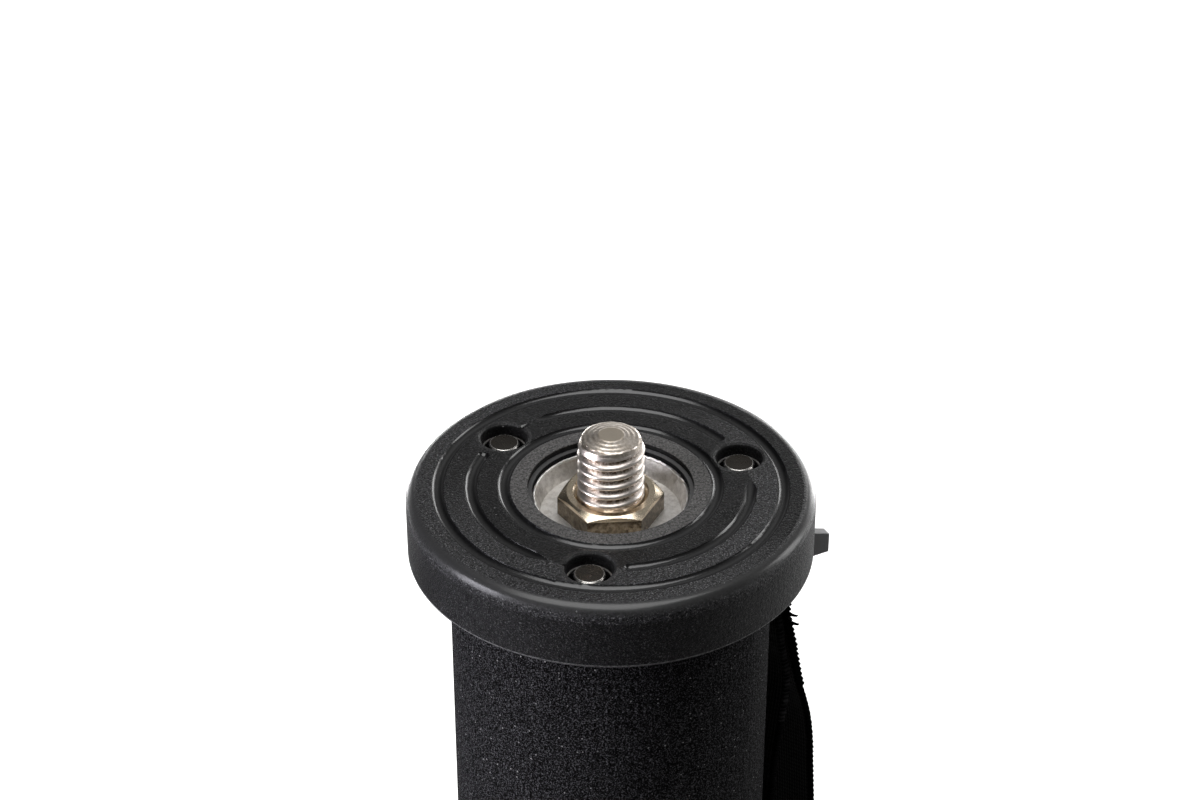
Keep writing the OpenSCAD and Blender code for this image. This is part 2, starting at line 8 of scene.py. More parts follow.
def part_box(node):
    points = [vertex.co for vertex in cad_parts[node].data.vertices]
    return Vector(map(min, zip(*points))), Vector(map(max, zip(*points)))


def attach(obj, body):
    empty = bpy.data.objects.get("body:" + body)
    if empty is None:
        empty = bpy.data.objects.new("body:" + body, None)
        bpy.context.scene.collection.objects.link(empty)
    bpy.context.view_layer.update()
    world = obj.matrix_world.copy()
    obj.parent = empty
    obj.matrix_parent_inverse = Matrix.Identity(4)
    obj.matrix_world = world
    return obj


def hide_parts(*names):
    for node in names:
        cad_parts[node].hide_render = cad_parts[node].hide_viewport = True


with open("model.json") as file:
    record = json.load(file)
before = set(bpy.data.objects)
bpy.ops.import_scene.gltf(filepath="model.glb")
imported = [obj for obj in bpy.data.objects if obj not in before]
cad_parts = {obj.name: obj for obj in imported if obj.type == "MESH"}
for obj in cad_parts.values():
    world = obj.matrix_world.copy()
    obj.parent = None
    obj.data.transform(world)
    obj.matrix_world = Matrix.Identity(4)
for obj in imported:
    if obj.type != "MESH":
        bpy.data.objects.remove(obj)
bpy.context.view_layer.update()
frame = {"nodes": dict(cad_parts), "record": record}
nodes = frame["nodes"]
mm = 0.001
plateTop = 516.45  # sizes and places below are in millimetres
print("frame loaded:", len(nodes), "nodes")


# Shader sockets as values
class Signal:
    def __init__(self, board, socket):
        self.board = board
        self.socket = socket

    def __add__(self, other):
        return self.board.math("ADD", self, other)

    def __radd__(self, other):
        return self.board.math("ADD", other, self)

    def __sub__(self, other):
        return self.board.math("SUBTRACT", self, other)

    def __rsub__(self, other):
        return self.board.math("SUBTRACT", other, self)

    def __mul__(self, other):
        return self.board.math("MULTIPLY", self, other)

    def __rmul__(self, other):
        return self.board.math("MULTIPLY", other, self)

    def __truediv__(self, other):
        return self.board.math("DIVIDE", self, other)

    def __pow__(self, other):
        return self.board.math("POWER", self, other)

    def __lt__(self, other):
        return self.board.math("LESS_THAN", self, other)

    def __gt__(self, other):
        return self.board.math("GREATER_THAN", self, other)

    def __abs__(self):
        return self.board.math("ABSOLUTE", self)


class Board:
    def __init__(self, owner):
        self.owner = owner
        owner.use_nodes = True
        self.tree = owner.node_tree
        self.tree.nodes.clear()

    def node(self, kind, settings=None, sockets=None, out=0):
        made = self.tree.nodes.new(kind)
        for name, value in (settings or {}).items():
            if name == "stops":
                ramp = made.color_ramp
                while len(ramp.elements) < len(value):
                    ramp.elements.new(1.0)
                for stop, (place, level) in zip(ramp.elements, value):
                    stop.position = place
                    stop.color = (level, level, level, 1.0)
            else:
                setattr(made, name, value)
        for name, value in (sockets or {}).items():
            if isinstance(value, Signal):
                self.tree.links.new(value.socket, made.inputs[name])
            else:
                made.inputs[name].default_value = value
        return Signal(self, made.outputs[out]) if made.outputs else made

    def math(self, operation, *values):
        return self.node("ShaderNodeMath", {"operation": operation}, dict(enumerate(values)))

    def most(self, first, second):
        return self.math("MAXIMUM", first, second)

    def vectorMath(self, operation, first, second, out=0):
        return self.node("ShaderNodeVectorMath", {"operation": operation}, {0: first, 1: second}, out)

    def place(self):
        at = self.node("ShaderNodeTexCoord", out="Object")
        return self.node("ShaderNodeVectorMath", {"operation": "SCALE"}, {"Vector": at, "Scale": 1 / mm})

    def parts(self, at):
        first = self.node("ShaderNodeSeparateXYZ", None, {"Vector": at})
        return [Signal(self, socket) for socket in first.socket.node.outputs]

    def rays(self):
        path = self.node("ShaderNodeLightPath", out="Is Camera Ray")
        glossy = Signal(self, path.socket.node.outputs["Is Glossy Ray"])
        through = Signal(self, path.socket.node.outputs["Is Transmission Ray"])
        return self.most(path, through), glossy  # seen straight or through glass, and seen in gloss

    def clouds(self, at, perMm, detail=2.0, rough=0.5):
        return self.node("ShaderNodeTexNoise", None,
                         {"Vector": at, "Scale": perMm, "Detail": detail, "Roughness": rough})

    def cells(self, at, perMm):
        return self.node("ShaderNodeTexVoronoi", None, {"Vector": at, "Scale": perMm}, "Distance")

    def ramp(self, value, stops):
        return self.node("ShaderNodeValToRGB", {"stops": stops}, {"Fac": value})

    def mix(self, share, first, second):
        return self.node("ShaderNodeMix", {"data_type": "RGBA"}, {0: share, 6: first, 7: second}, 2)

    def bump(self, height, depth, strength, edge=None):
        sockets = {"Height": height, "Distance": depth * mm, "Strength": strength}
        if edge:  # soft corners on solids with sharp edges
            sockets["Normal"] = self.node("ShaderNodeBevel", {"samples": 4}, {"Radius": edge * mm})
        return self.node("ShaderNodeBump", None, sockets)

    def surface(self, sockets):
        shader = self.node("ShaderNodeBsdfPrincipled", None, sockets)
        self.node("ShaderNodeOutputMaterial", None, {"Surface": shader})
        return self.owner


def newBoard(name):
    return Board(bpy.data.materials.new(name))


def colour(level, warm=0.0):
    return (level * (1 + max(warm, 0)), level, level * (1 - warm), 1.0)


def metal(tint, shares=(1, 1, 1)):
    return (*(level * share for level, share in zip(tint, shares)), 1.0)


def middleOf(node):
    low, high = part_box(node)
    return tuple((a + b) / 2 / mm for a, b in zip(low[:2], high[:2]))


# Camera where the photograph was taken
cameraSet = {"place": (-149.9, -278.7, 734.9), "down": 32.85, "turn": -28.0, "lens": 82.67,
             "sensor": 36.0, "near": 10}


def makeCamera():
    data = bpy.data.cameras.new("camera")
    data.lens = cameraSet["lens"]
    data.sensor_width = cameraSet["sensor"]
    data.clip_start = cameraSet["near"] * mm
    camera = bpy.data.objects.new("camera", data)
    camera.location = Vector(cameraSet["place"]) * mm
    camera.rotation_euler = (radians(90 - cameraSet["down"]), 0, radians(cameraSet["turn"]))
    bpy.context.scene.collection.objects.link(camera)
    bpy.context.scene.camera = camera


# Light: places are right, away and up from a height on the axis, as the camera sees it
softboxes = {
    "topBox": {"way": (-0.06, -0.12, 0.99), "aim": plateTop, "far": 1600,
               "size": (1400, 1400), "watts": 19.6},
    "rightBox": {"way": (0.92, 0.3, 0.3), "aim": plateTop, "far": 800,
                 "size": (250, 500), "watts": 1.5},
    "glintBox": {"way": (0.5, 0.85, 0.12), "aim": plateTop, "far": 900,
                 "size": (420, 300), "watts": 1.1},
    "leftBox": {"way": (-0.94, -0.33, 0.06), "aim": plateTop, "far": 900,
                "size": (400, 700), "watts": 11.0, "tint": (0.93, 0.92, 1)},
    "legLeftBox": {"way": (-0.3, -0.95, 0), "aim": 150, "far": 500,
                   "size": (300, 110), "watts": 0.42, "spread": 55},
    "legRightBox": {"way": (0.9, -0.44, 0), "aim": 150, "far": 500,
                    "size": (300, 110), "watts": 0.42, "spread": 55},
    "backLeftBox": {"way": (-0.35, 0.94, 0), "aim": 250, "far": 1100,
                    "size": (450, 460), "watts": 5.0},
    "backRightBox": {"way": (0.45, 0.89, 0), "aim": 250, "far": 1100,
                     "size": (450, 460), "watts": 4.0},
}
worldSet = {
    "ambient": 0.05, "backdrop": 1.0, "gleam": 1.35,
    "across": [(0.2, 0.12), (0.42, 0.5), (0.58, 0.9), (0.75, 1.0)],
    "height": [(0.0, 1.0), (0.15, 0.6), (0.35, 0.22), (0.5, 0.16), (0.64, 0.42), (0.85, 0.6)],
    "facing": [(0.0, 1.0), (0.12, 0.9), (0.3, 0.4), (0.5, 0.14), (0.75, 0.16), (1.0, 0.2)],
}
floorSet = {
    "size": 6000, "tint": 0.31, "seenTint": 0.6, "glow": 0.3,
    # whiter away from the foot, where its shadow lies
    "reach": 1000, "white": [(0.0, 0.45), (0.25, 0.58), (0.5, 0.92), (1.0, 1.0)],
    "backWay": (0.6, 0.8, 0), "backTo": 600, "back": [(0.0, 0.02), (1.0, 0.65)],
}


def seenFrom(right, away, up):
    turn = radians(cameraSet["turn"])
    return Vector((right * cos(turn) - away * sin(turn), right * sin(turn) + away * cos(turn), up))


def makeLight():
    for name, box in softboxes.items():
        data = bpy.data.lights.new(name, "AREA")
        data.shape = "RECTANGLE"
        data.size, data.size_y = (side * mm for side in box["size"])
        data.energy = box["watts"]
        data.color = box.get("tint", (1, 1, 1))
        data.spread = radians(box.get("spread", 180))  # narrow ones reach the leg alone
        lamp = bpy.data.objects.new(name, data)
        way = seenFrom(*box["way"]).normalized()
        lamp.location = (Vector((0, 0, box["aim"])) + way * box["far"]) * mm
        lamp.rotation_euler = way.to_track_quat("Z", "Y").to_euler()
        bpy.context.scene.collection.objects.link(lamp)


def makeWorld():
    world = bpy.data.worlds.new("studio")
    bpy.context.scene.world = world
    board = Board(world)
    direct, glossy = board.rays()
    way = board.node("ShaderNodeTexCoord", out="Generated")
    front = board.vectorMath("DOT_PRODUCT", way, tuple(seenFrom(0, -1, 0)), "Value")
    right = board.vectorMath("DOT_PRODUCT", way, tuple(seenFrom(1, 0, 0)), "Value")
    dim = board.ramp(board.parts(way)[2], worldSet["height"])  # white low behind and to the right
    dim = dim * board.ramp(front * 0.5 + 0.5, worldSet["facing"])
    dim = dim * board.ramp(right * 0.5 + 0.5, worldSet["across"])
    around = glossy * dim * worldSet["gleam"] + (1 - glossy) * worldSet["ambient"]
    level = direct * worldSet["backdrop"] + (1 - direct) * around
    shader = board.node("ShaderNodeBackground", None, {"Color": (1, 1, 1, 1), "Strength": level})
    board.node("ShaderNodeOutputWorld", None, {"Surface": shader})


def makeFloor():
    bpy.ops.object.select_all(action="DESELECT")
    bpy.ops.mesh.primitive_plane_add(size=floorSet["size"] * mm, location=(0, 0, 0))
    floor = bpy.context.active_object
    floor.name = "studioFloor"
    board = newBoard("floorPaint")
    direct, glossy = board.rays()
    at = board.place()
    away = board.vectorMath("DOT_PRODUCT", at, tuple(seenFrom(*floorSet["backWay"])), "Value")
    back = board.ramp(away / floorSet["backTo"], floorSet["back"])
    fromFoot = board.node("ShaderNodeVectorMath", {"operation": "LENGTH"}, {0: at}, "Value")
    white = board.ramp(fromFoot / floorSet["reach"], floorSet["white"])
    tint = board.mix(direct, colour(floorSet["tint"]), colour(floorSet["seenTint"]))
    paint = board.node("ShaderNodeBsdfDiffuse", None, {"Color": tint})
    strength = direct * white / floorSet["glow"] + (1 - direct) * back
    glow = board.node("ShaderNodeEmission", None, {"Strength": strength})
    share = board.most(direct * floorSet["glow"], glossy)
    shader = board.node("ShaderNodeMixShader", None, {0: share, 1: paint, 2: glow})
    board.node("ShaderNodeOutputMaterial", None, {"Surface": shader})
    floor.data.materials.append(board.owner)


bpy.context.scene.view_settings.view_transform = "Standard"
makeCamera()
makeLight()
makeWorld()
makeFloor()
print("camera, light and floor made")


# Finishes
plateLook = {
    "dark": 0.0006, "tint": 0.031, "speck": 0.36, "roughness": 0.42, "gloss": 0.21, "coatRough": 0.22,
    "grain": 2.5, "fineGrain": 4.75, "patches": 0.12, "grainDepth": 0.3, "edge": 0.14, "topDepth": 0.6,
    "recess": 11.62, "recessSlack": 0.08, "wellDepth": 0.12,
    "ledge": 0.95, "ledgeHalf": 0.08, "ledgeHighlightTint": 0.12,
    "annulus": 14.05, "annulusTint": 0.11, "annulusRough": 0.36,
    "grooves": (14.95, 19.55, 24.15), "grooveHalf": 0.9, "grooveDepth": 0.05,
    "grooveShadeTint": 0.004, "grooveRough": 0.1,
    "holeR": 3.55, "holeSlack": 0.2, "holeDepth": 0.25, "holeLipHighlight": 0.5,
    "innerWorn": 0.85, "middleShade": 0.75, "outerShade": 0.8, "wornRough": 0.28,
    "middleSpan": 44, "middleFade": [(0.45, 0.0), (0.8, 1.0)],  # painted shade, darker away from the camera
    "outerSpan": 54, "outerFade": [(0.5, 0.0), (0.8, 1.0)],  # painted shade, darker towards the strap
    "shoulder": 26.9, "shoulderWide": 1.2, "shoulderTall": 4, "edgeHighlightTint": 0.03, "shoulderRough": 0.3,
    "wallDepth": 2.5, "wallShade": 0.65,
    "bottom": 506.6, "bead": 0.42, "lip": 0.14, "lipHighlightTint": 0.26,
    "dust": 0.55, "dustSize": 0.06, "dustPatches": 0.3, "dustFrom": 0.52, "dustTint": 0.3,
}


def plateMoulding():
    look = plateLook
    board = newBoard("plateMoulding")
    at = board.place()
    x, y, z = board.parts(at)
    fromAxis = (x * x + y * y) ** 0.5
    onTop = z > plateTop - look["topDepth"]

    def between(low, high):
        return (fromAxis > low) * (fromAxis < high) * onTop

    annulus = between(look["recess"], look["annulus"])
    well = (fromAxis < look["recess"] + look["recessSlack"]) * (z < plateTop - look["wellDepth"])
    # a thin band on the recess wall where a light line is painted as a highlight
    ledge = well * (abs(z - plateTop + look["ledge"]) < look["ledgeHalf"])
    groove, nearHole, holeLipHighlight = 0.0, 0.0, 0.0
    for ring in look["grooves"]:
        inside = (abs(fromAxis - ring) < look["grooveHalf"]) * (z < plateTop - look["grooveDepth"])
        groove = board.most(groove, inside * onTop)
    for i in (1, 2, 3):
        dx, dy = middleOf(f"set_screw_{i}")
        away = ((x - dx) * (x - dx) + (y - dy) * (y - dy)) ** 0.5
        nearHole = board.most(nearHole, away < look["holeR"] + look["holeSlack"])
        # the rim round each hole, where a lighter ring is painted as a highlight
        onLip = (away < look["holeR"] + look["holeLipHighlight"]) * (z > plateTop - look["holeDepth"])
        holeLipHighlight = board.most(holeLipHighlight, onLip)
    hole = nearHole * (z < plateTop - look["holeDepth"])
    groove = groove * (1 - nearHole)
    smooth = board.most(annulus, groove)

    # rings between the grooves: the inner one rubbed dark, painted shade on the far side of the middle one and
    # on the strap side of the outer one, and painted shade on the side wall
    first, second, third = look["grooves"]
    inner = between(first, second)
    middle = between(second, third) * board.ramp(y / look["middleSpan"] + 0.5, look["middleFade"])
    outer = between(third, look["shoulder"]) * board.ramp(x / look["outerSpan"] + 0.5, look["outerFade"])
    # painted shade: the side wall below the shoulder made darker
    wall = (fromAxis > look["shoulder"]) * (z < plateTop - look["wallDepth"])
    worn = inner * look["innerWorn"] + middle * look["middleShade"] + outer * look["outerShade"]
    worn = worn + wall * look["wallShade"]
    rubbed = inner + middle * 0.7 + outer * 0.7

    outward = (fromAxis - look["shoulder"]) / look["shoulderWide"]
    upward = (z - plateTop) / look["shoulderTall"] + 0.75
    overEdge = board.ramp(outward, [(0.0, 0.0), (0.5, 1.0), (1.0, 1.0)])
    overEdge = overEdge * board.ramp(upward, [(0.35, 0.0), (0.62, 1.0)])
    bead = z < look["bottom"] + look["bead"]
    # light lines along the bottom edge and the bead above it, painted as highlights
    lip = z < look["bottom"] + look["lip"]
    lip = lip + (abs(z - look["bottom"] - look["bead"]) < look["lip"] / 2)

    grain = board.clouds(at, look["grain"], 3.0, 0.65)
    fine = board.clouds(at, look["fineGrain"], 2.0, 0.6)
    patches = board.clouds(at, look["patches"], 3.0, 0.6)
    shade = board.ramp(grain, [(0.43, 0.0), (0.58, 1.0)])
    lightSpots = board.ramp(fine, [(0.56, 0.0), (0.69, 1.0)]) * (1 - groove) * (1 - overEdge)
    dust = board.cells(at, look["dust"]) < look["dustSize"]
    dust = dust * (board.clouds(at, look["dustPatches"]) > look["dustFrom"])

    layers = [  # share, tint and warmth of each, from the grain up
        (annulus * (0.4 + shade * 0.6), look["annulusTint"], 0.03),
        # rubbed dark on the inner ring; painted shade on the middle and outer rings and on the side wall
        (worn, look["dark"], 0.0),
        (lightSpots * (0.2 + patches * 0.7) * (1 - worn * 0.8), look["speck"], 0.0),
        # painted highlight: a lighter band on the shoulder, beside the coat's real reflection
        (overEdge * 0.9, look["edgeHighlightTint"], 0.0),
        # painted shade in the grooves, over their dark polished plastic
        (groove * 0.85, look["grooveShadeTint"], -0.06),
        # painted highlight: a lighter ring round each hole's rim
        (holeLipHighlight * 0.6, look["edgeHighlightTint"], 0.0),
        # painted shade: the recess wall and the holes' insides made near black
        (board.most(well, hole) * 0.9, look["dark"] * 0.5, 0.0),
        # painted highlight: a light line along the ledge inside the recess
        (ledge * 0.8, look["ledgeHighlightTint"], 0.0),
        (dust * 0.5, look["dustTint"], 0.0),
        # painted highlight: light lines along the bottom edge and the bead
        (lip * (0.4 + shade * 0.5), look["lipHighlightTint"], 0.0),
    ]
    base = board.mix(shade, colour(look["dark"]), colour(look["tint"], -0.08))
    for share, tint, warm in layers:
        base = board.mix(share, base, colour(tint, warm))
    rough = look["roughness"] + (patches - 0.5) * 0.14
    for mask, own in ((overEdge, "shoulderRough"), (annulus, "annulusRough"),
                      (rubbed, "wornRough"), (groove, "grooveRough")):
        rough = rough - mask * (look["roughness"] - look[own])
    height = (grain * 0.7 + fine * 0.5) * (1 - smooth * 0.9)
    height = height * (1 - (inner + middle + outer) * 0.5) * (1 - overEdge * 0.85) + bead * 0.6
    return board.surface({
        "Base Color": base,
        "Roughness": rough + well * 0.3 + hole * 0.55 - holeLipHighlight * 0.12,
        "Specular IOR Level": look["gloss"],
        "Coat Weight": board.most(overEdge * 0.7, groove),
        "Coat Roughness": look["coatRough"],
        "Normal": board.bump(height, look["grainDepth"], 1.0, look["edge"]),
    })


mouldLook = {"patches": 0.09, "dim": 0.75, "bright": 1.3, "depth": 0.02}


def moulding(name, tint, roughness, grain, edge):
    look = mouldLook
    board = newBoard(name)
    at = board.place()
    fine = board.clouds(at, grain, 3.0, 0.6)
    patches = board.clouds(at, look["patches"], 3.0, 0.6)
    base = board.mix(patches, colour(tint * look["dim"]), colour(tint * look["bright"], -0.03))
    return board.surface({
        "Base Color": base,
        "Roughness": roughness + (patches - 0.5) * 0.16 + (fine - 0.5) * 0.1,
        "Normal": board.bump(fine, look["depth"], 0.8, edge),
    })


platingLook = {"fine": 5.0, "patches": 0.45, "stains": 1.3, "depth": 0.02,
               "stained": (0.62, 0.58, 0.52), "shaded": (0.07, 0.06, 0.05)}


def plating(name, tint, roughness, pits, edge, sides=None):
    look = platingLook
    board = newBoard(name)
    at = board.place()
    fine = board.clouds(at, look["fine"], 3.0, 0.7)
    patches = board.clouds(at, look["patches"], 3.0, 0.65)
    stains = board.ramp(board.clouds(at, look["stains"], 4.0, 0.7), [(0.38, 0.0), (0.66, 1.0)])
    base = board.mix(stains * 0.45, metal(tint), metal(tint, look["stained"]))
    if sides:  # painted shade: darker below this height, where the faces reflect the shaded cup
        below = board.parts(at)[2] < sides
        base = board.mix(below * (0.8 + stains * 0.2), base, metal(tint, look["shaded"]))
    return board.surface({
        "Base Color": base,
        "Metallic": 1.0,
        "Roughness": roughness + (patches - 0.5) * 0.18 + stains * 0.08,
        "Normal": board.bump(fine * pits, look["depth"], 0.7, edge),
    })


screwLook = {
    "tint": (0.105, 0.097, 0.087), "stained": (0.55, 0.5, 0.44), "rim": (0.93, 0.9, 0.86),
    "body": (0.02, 0.018, 0.016), "flat": 2.0, "litEdgeWidth": 0.06, "edge": 2.22, "soft": 0.12,
    "rings": 9.0, "stains": 1.1, "fine": 6.0, "depth": 0.012, "roughness": 0.26,
}


def screwSteel(name, centre):
    look = screwLook
    board = newBoard(name)
    at = board.vectorMath("SUBTRACT", board.place(), (*centre, 0.0))
    x, y = board.parts(at)[:2]
    fromAxis = (x * x + y * y) ** 0.5
    rings = board.math("SINE", fromAxis * look["rings"] * 2 * pi)
    stains = board.clouds(at, look["stains"], 4.0, 0.7)
    litEdge = fromAxis > look["flat"] - look["litEdgeWidth"]  # painted highlight: a bright ring at the flat's edge
    base = board.mix(stains, metal(look["tint"]), metal(look["tint"], look["stained"]))
    base = board.mix(litEdge, base, metal(look["rim"]))
    # painted shade: the steel beyond the flat's edge, sloping into the hole, made near black
    base = board.mix(fromAxis > look["edge"], base, metal(look["body"]))
    height = rings * 0.4 + board.clouds(at, look["fine"]) * 0.6
    return board.surface({
        "Base Color": base,
        "Metallic": 1.0,
        "Roughness": look["roughness"] + (stains - 0.5) * 0.25,
        "Normal": board.bump(height, look["depth"], 0.6, look["soft"]),
    })


studLook = {
    "crest": (0.97, 0.895, 0.83), "tip": (0.74, 0.65, 0.53), "cone": (0.6, 0.53, 0.44),
    "root": (0.2, 0.145, 0.1), "low": 4.0, "high": 4.58, "threadTop": 7.3, "flatFrom": 8.46,
    "fine": 4.5, "stains": 1.6, "pits": 2.4, "ring": 0.72, "depth": 0.02, "roughness": 0.3,
}


def studNickel():
    look = studLook
    board = newBoard("studNickel")
    at = board.place()
    x, y, z = board.parts(at)
    fromAxis = (x * x + y * y) ** 0.5
    threaded = z < plateTop + look["threadTop"]
    flat = z > plateTop + look["flatFrom"]
    fine = board.clouds(at, look["fine"], 3.0, 0.7)
    stains = board.ramp(board.clouds(at, look["stains"], 4.0, 0.7), [(0.4, 0.0), (0.68, 1.0)])
    pits = board.ramp(board.clouds(at, look["pits"], 3.0, 0.7), [(0.42, 0.0), (0.56, 1.0)])
    upThread = (fromAxis - look["low"]) / (look["high"] - look["low"])
    # painted shade with some dirt: darker towards the thread roots
    rootDirtAndShade = board.ramp(upThread, [(0.0, 1.0), (1.0, 0.0)]) * threaded
    worn = board.most(rootDirtAndShade * (0.4 + pits * 0.6), stains * 0.35)
    turned = board.math("SINE", fromAxis / look["ring"] * 2 * pi) * (1 - threaded) * (1 - flat)
    base = board.mix((1 - threaded) * (0.4 + stains * 0.6), metal(look["crest"]), metal(look["cone"]))
    base = board.mix(worn, base, metal(look["root"]))
    height = fine * (0.1 + threaded * 0.9) + turned * 0.8
    return board.surface({
        "Base Color": board.mix(flat * (0.8 + stains * 0.2), base, metal(look["tip"])),
        "Metallic": 1.0,
        "Roughness": look["roughness"] + worn * 0.2 + (fine - 0.5) * 0.2,
        "Normal": board.bump(height, look["depth"], 0.9),
    })


castLook = {"tint": (0.93, 0.905, 0.87), "dark": (0.55, 0.52, 0.48), "roughness": 0.4,
            "lumps": 0.9, "fine": 4.0, "depth": 0.09}


def castAlloy():
    look = castLook
    board = newBoard("castAlloy")
    at = board.place()
    lumps = board.clouds(at, look["lumps"], 4.0, 0.65)
    fine = board.clouds(at, look["fine"], 3.0, 0.7)
    stains = board.ramp(lumps, [(0.36, 1.0), (0.6, 0.0)])
    return board.surface({
        "Base Color": board.mix(stains * 0.75, metal(look["tint"]), metal(look["dark"])),
        "Metallic": 1.0,
        "Roughness": look["roughness"] + (fine - 0.5) * 0.3 + stains * 0.12,
        "Normal": board.bump(lumps * 0.8 + fine * 0.4, look["depth"], 0.9),
    })


foamLook = {
    "dark": 0.0006, "tint": 0.008, "speck": 0.16, "glint": 0.4, "roughness": 0.8, "gloss": 0.05,
    "cell": 2.6, "fine": 2.4, "finest": 4.8, "patches": 0.1, "glints": 0.7, "glintSize": 0.085, "depth": 0.4,
}


def foamRubber():
    look = foamLook
    board = newBoard("foamRubber")
    at = board.place()
    cell = board.cells(at, look["cell"])
    fine = board.clouds(at, look["fine"], 3.0, 0.65)
    finest = board.clouds(at, look["finest"], 2.0, 0.6)
    patches = board.clouds(at, look["patches"], 3.0, 0.6)
    shade = board.ramp(fine, [(0.4, 0.0), (0.66, 1.0)])
    spots = board.ramp(finest, [(0.51, 0.0), (0.64, 1.0)])
    glints = board.cells(at, look["glints"]) < look["glintSize"]
    base = board.mix(shade * (0.6 + patches * 0.8), colour(look["dark"]), colour(look["tint"], -0.05))
    base = board.mix(spots * 0.6, base, colour(look["speck"], -0.06))
    base = board.mix(glints * 0.8, base, colour(look["glint"]))
    return board.surface({
        "Base Color": base,
        "Roughness": look["roughness"] - spots * 0.15,
        "Specular IOR Level": look["gloss"],
        "Normal": board.bump(cell * 0.55 + fine * 0.9, look["depth"], 0.9),
    })


tubeLook = {"drawn": 1.6, "drawnLong": 0.02, "rubs": 2.6, "rubLong": 0.006, "patches": 0.03, "fine": 6.0,
            "metallic": 0.5, "roughness": 0.36, "rubbed": 0.12, "depth": 0.012, "edge": 0.25}


def anodised(name, tint):
    look = tubeLook
    board = newBoard(name)
    at = board.place()
    drawnAt = board.vectorMath("MULTIPLY", at, (1.0, 1.0, look["drawnLong"]))
    drawn = board.clouds(drawnAt, look["drawn"], 3.0, 0.6)
    patches = board.clouds(at, look["patches"], 3.0, 0.6)
    fine = board.clouds(at, look["fine"], 2.0, 0.6)
    rubAt = board.vectorMath("MULTIPLY", at, (1.0, 1.0, look["rubLong"]))
    rubs = board.ramp(board.clouds(rubAt, look["rubs"], 2.0, 0.5), [(0.66, 0.0), (0.74, 1.0)])
    base = board.mix(drawn, colour(tint * 0.8, -0.02), colour(tint * 1.25, -0.03))
    return board.surface({
        "Base Color": board.mix(rubs * patches * 0.6, base, colour(tint + look["rubbed"])),
        "Metallic": look["metallic"],
        "Roughness": look["roughness"] + (drawn - 0.5) * 0.16 + (patches - 0.5) * 0.12,
        "Normal": board.bump(drawn * 0.6 + fine * 0.4, look["depth"], 0.7, look["edge"]),
    })


rubberLook = {"tint": 0.022, "worn": 0.06, "wornTo": 6.0, "wear": 0.35, "fine": 3.0,
              "roughness": 0.62, "depth": 0.04, "edge": 0.5}


def footRubber():
    look = rubberLook
    board = newBoard("footRubber")
    at = board.place()
    fine = board.clouds(at, look["fine"], 3.0, 0.6)
    wear = board.ramp(board.clouds(at, look["wear"], 4.0, 0.65), [(0.48, 0.0), (0.72, 1.0)])
    wear = wear * (board.parts(at)[2] < look["wornTo"])
    return board.surface({
        "Base Color": board.mix(wear * 0.6, colour(look["tint"]), colour(look["worn"], 0.06)),
        "Roughness": look["roughness"] + (fine - 0.5) * 0.2 + wear * 0.14,
        "Normal": board.bump(fine, look["depth"], 0.8, look["edge"]),
    })


strapLook = {
    "tint": 0.0003, "litWeave": 0.0012, "edge": 0.03, "edgeWidth": 0.035, "sewnFrom": 0.9, "rib": 0.75,
    "cords": 22.0, "fibre": 4.0, "roughness": 0.8, "gloss": 0.04, "depth": 0.12,
}


def webbingWeave(width, length):
    look = strapLook
    board = newBoard("webbingWeave")
    u, v = board.parts(board.node("ShaderNodeUVMap"))[:2]
    cords = v * width / (width / look["cords"])
    step = board.math("FLOOR", cords)
    ridge = board.math("SINE", (u * length / look["rib"] + step * 0.5) * 2 * pi) * 0.5 + 0.5
    cord = board.math("SINE", cords * 2 * pi) * 0.5 + 0.5
    fibre = board.clouds(board.place(), look["fibre"], 3.0, 0.7)
    # painted shade: the weave's tops lighter than its hollows, with random fibre tone
    litWeave = ridge * cord * 0.7 + fibre * 0.3
    selvage = abs(v - 0.5) > 0.5 - look["edgeWidth"]
    selvage = selvage * (u > look["sewnFrom"]) * ridge  # thread where the ends are sewn
    base = board.mix(litWeave, colour(look["tint"]), colour(look["litWeave"], -0.03))
    return board.surface({
        "Base Color": board.mix(selvage * 0.7, base, colour(look["edge"], -0.03)),
        "Roughness": look["roughness"] + (fibre - 0.5) * 0.2,
        "Specular IOR Level": look["gloss"],
        "Normal": board.bump(ridge * 0.6 + cord * 0.5 + fibre * 0.35, look["depth"], 0.9),
    })


# tint, roughness, then grain or pits, and how soft the edges are
finishes = {
    "plate_black": plateMoulding(),
    "cast_alloy": castAlloy(),
    "stud_nickel": studNickel(),
    # the nut's faces below the chamfer get painted shade
    "nut_nickel": plating("nutNickel", (0.8, 0.69, 0.53), 0.2, 0.08, 0.1, sides=plateTop - 1.75),
    "steel": plating("zincSteel", (0.56, 0.56, 0.57), 0.3, 0.5, 0.2),
    "collar_grey": moulding("collarMoulding", 0.17, 0.46, 2.6, 0.3),
    "foam": foamRubber(),
    "tube_black": anodised("tubeBlack", 0.04),
    "tube_grey": anodised("tubeGrey", 0.17),
    "bush_white": moulding("bushNylon", 0.55, 0.45, 2.0, 0.2),
    "lock_black": moulding("lockNylon", 0.028, 0.4, 2.0, 0.4),
    "lever_black": moulding("leverNylon", 0.034, 0.33, 2.4, 0.6),
    "shim_grey": moulding("shimNylon", 0.26, 0.5, 2.0, 0.1),
    "foot_rubber": footRubber(),
}
for part in frame["record"]["subparts"]:
    node, slot = part["node"], part["material_slot"]
    if slot in finishes:
        nodes[node].material_slots[0].material = finishes[slot]
    elif slot == "screw_steel":
        nodes[node].material_slots[0].material = screwSteel(node + "Steel", middleOf(node))
print("finishes made:", len(bpy.data.materials))


# Making tools
mergeGap = 0.001


def only(piece):
    bpy.ops.object.select_all(action="DESELECT")
    piece.select_set(True)
    bpy.context.view_layer.objects.active = piece


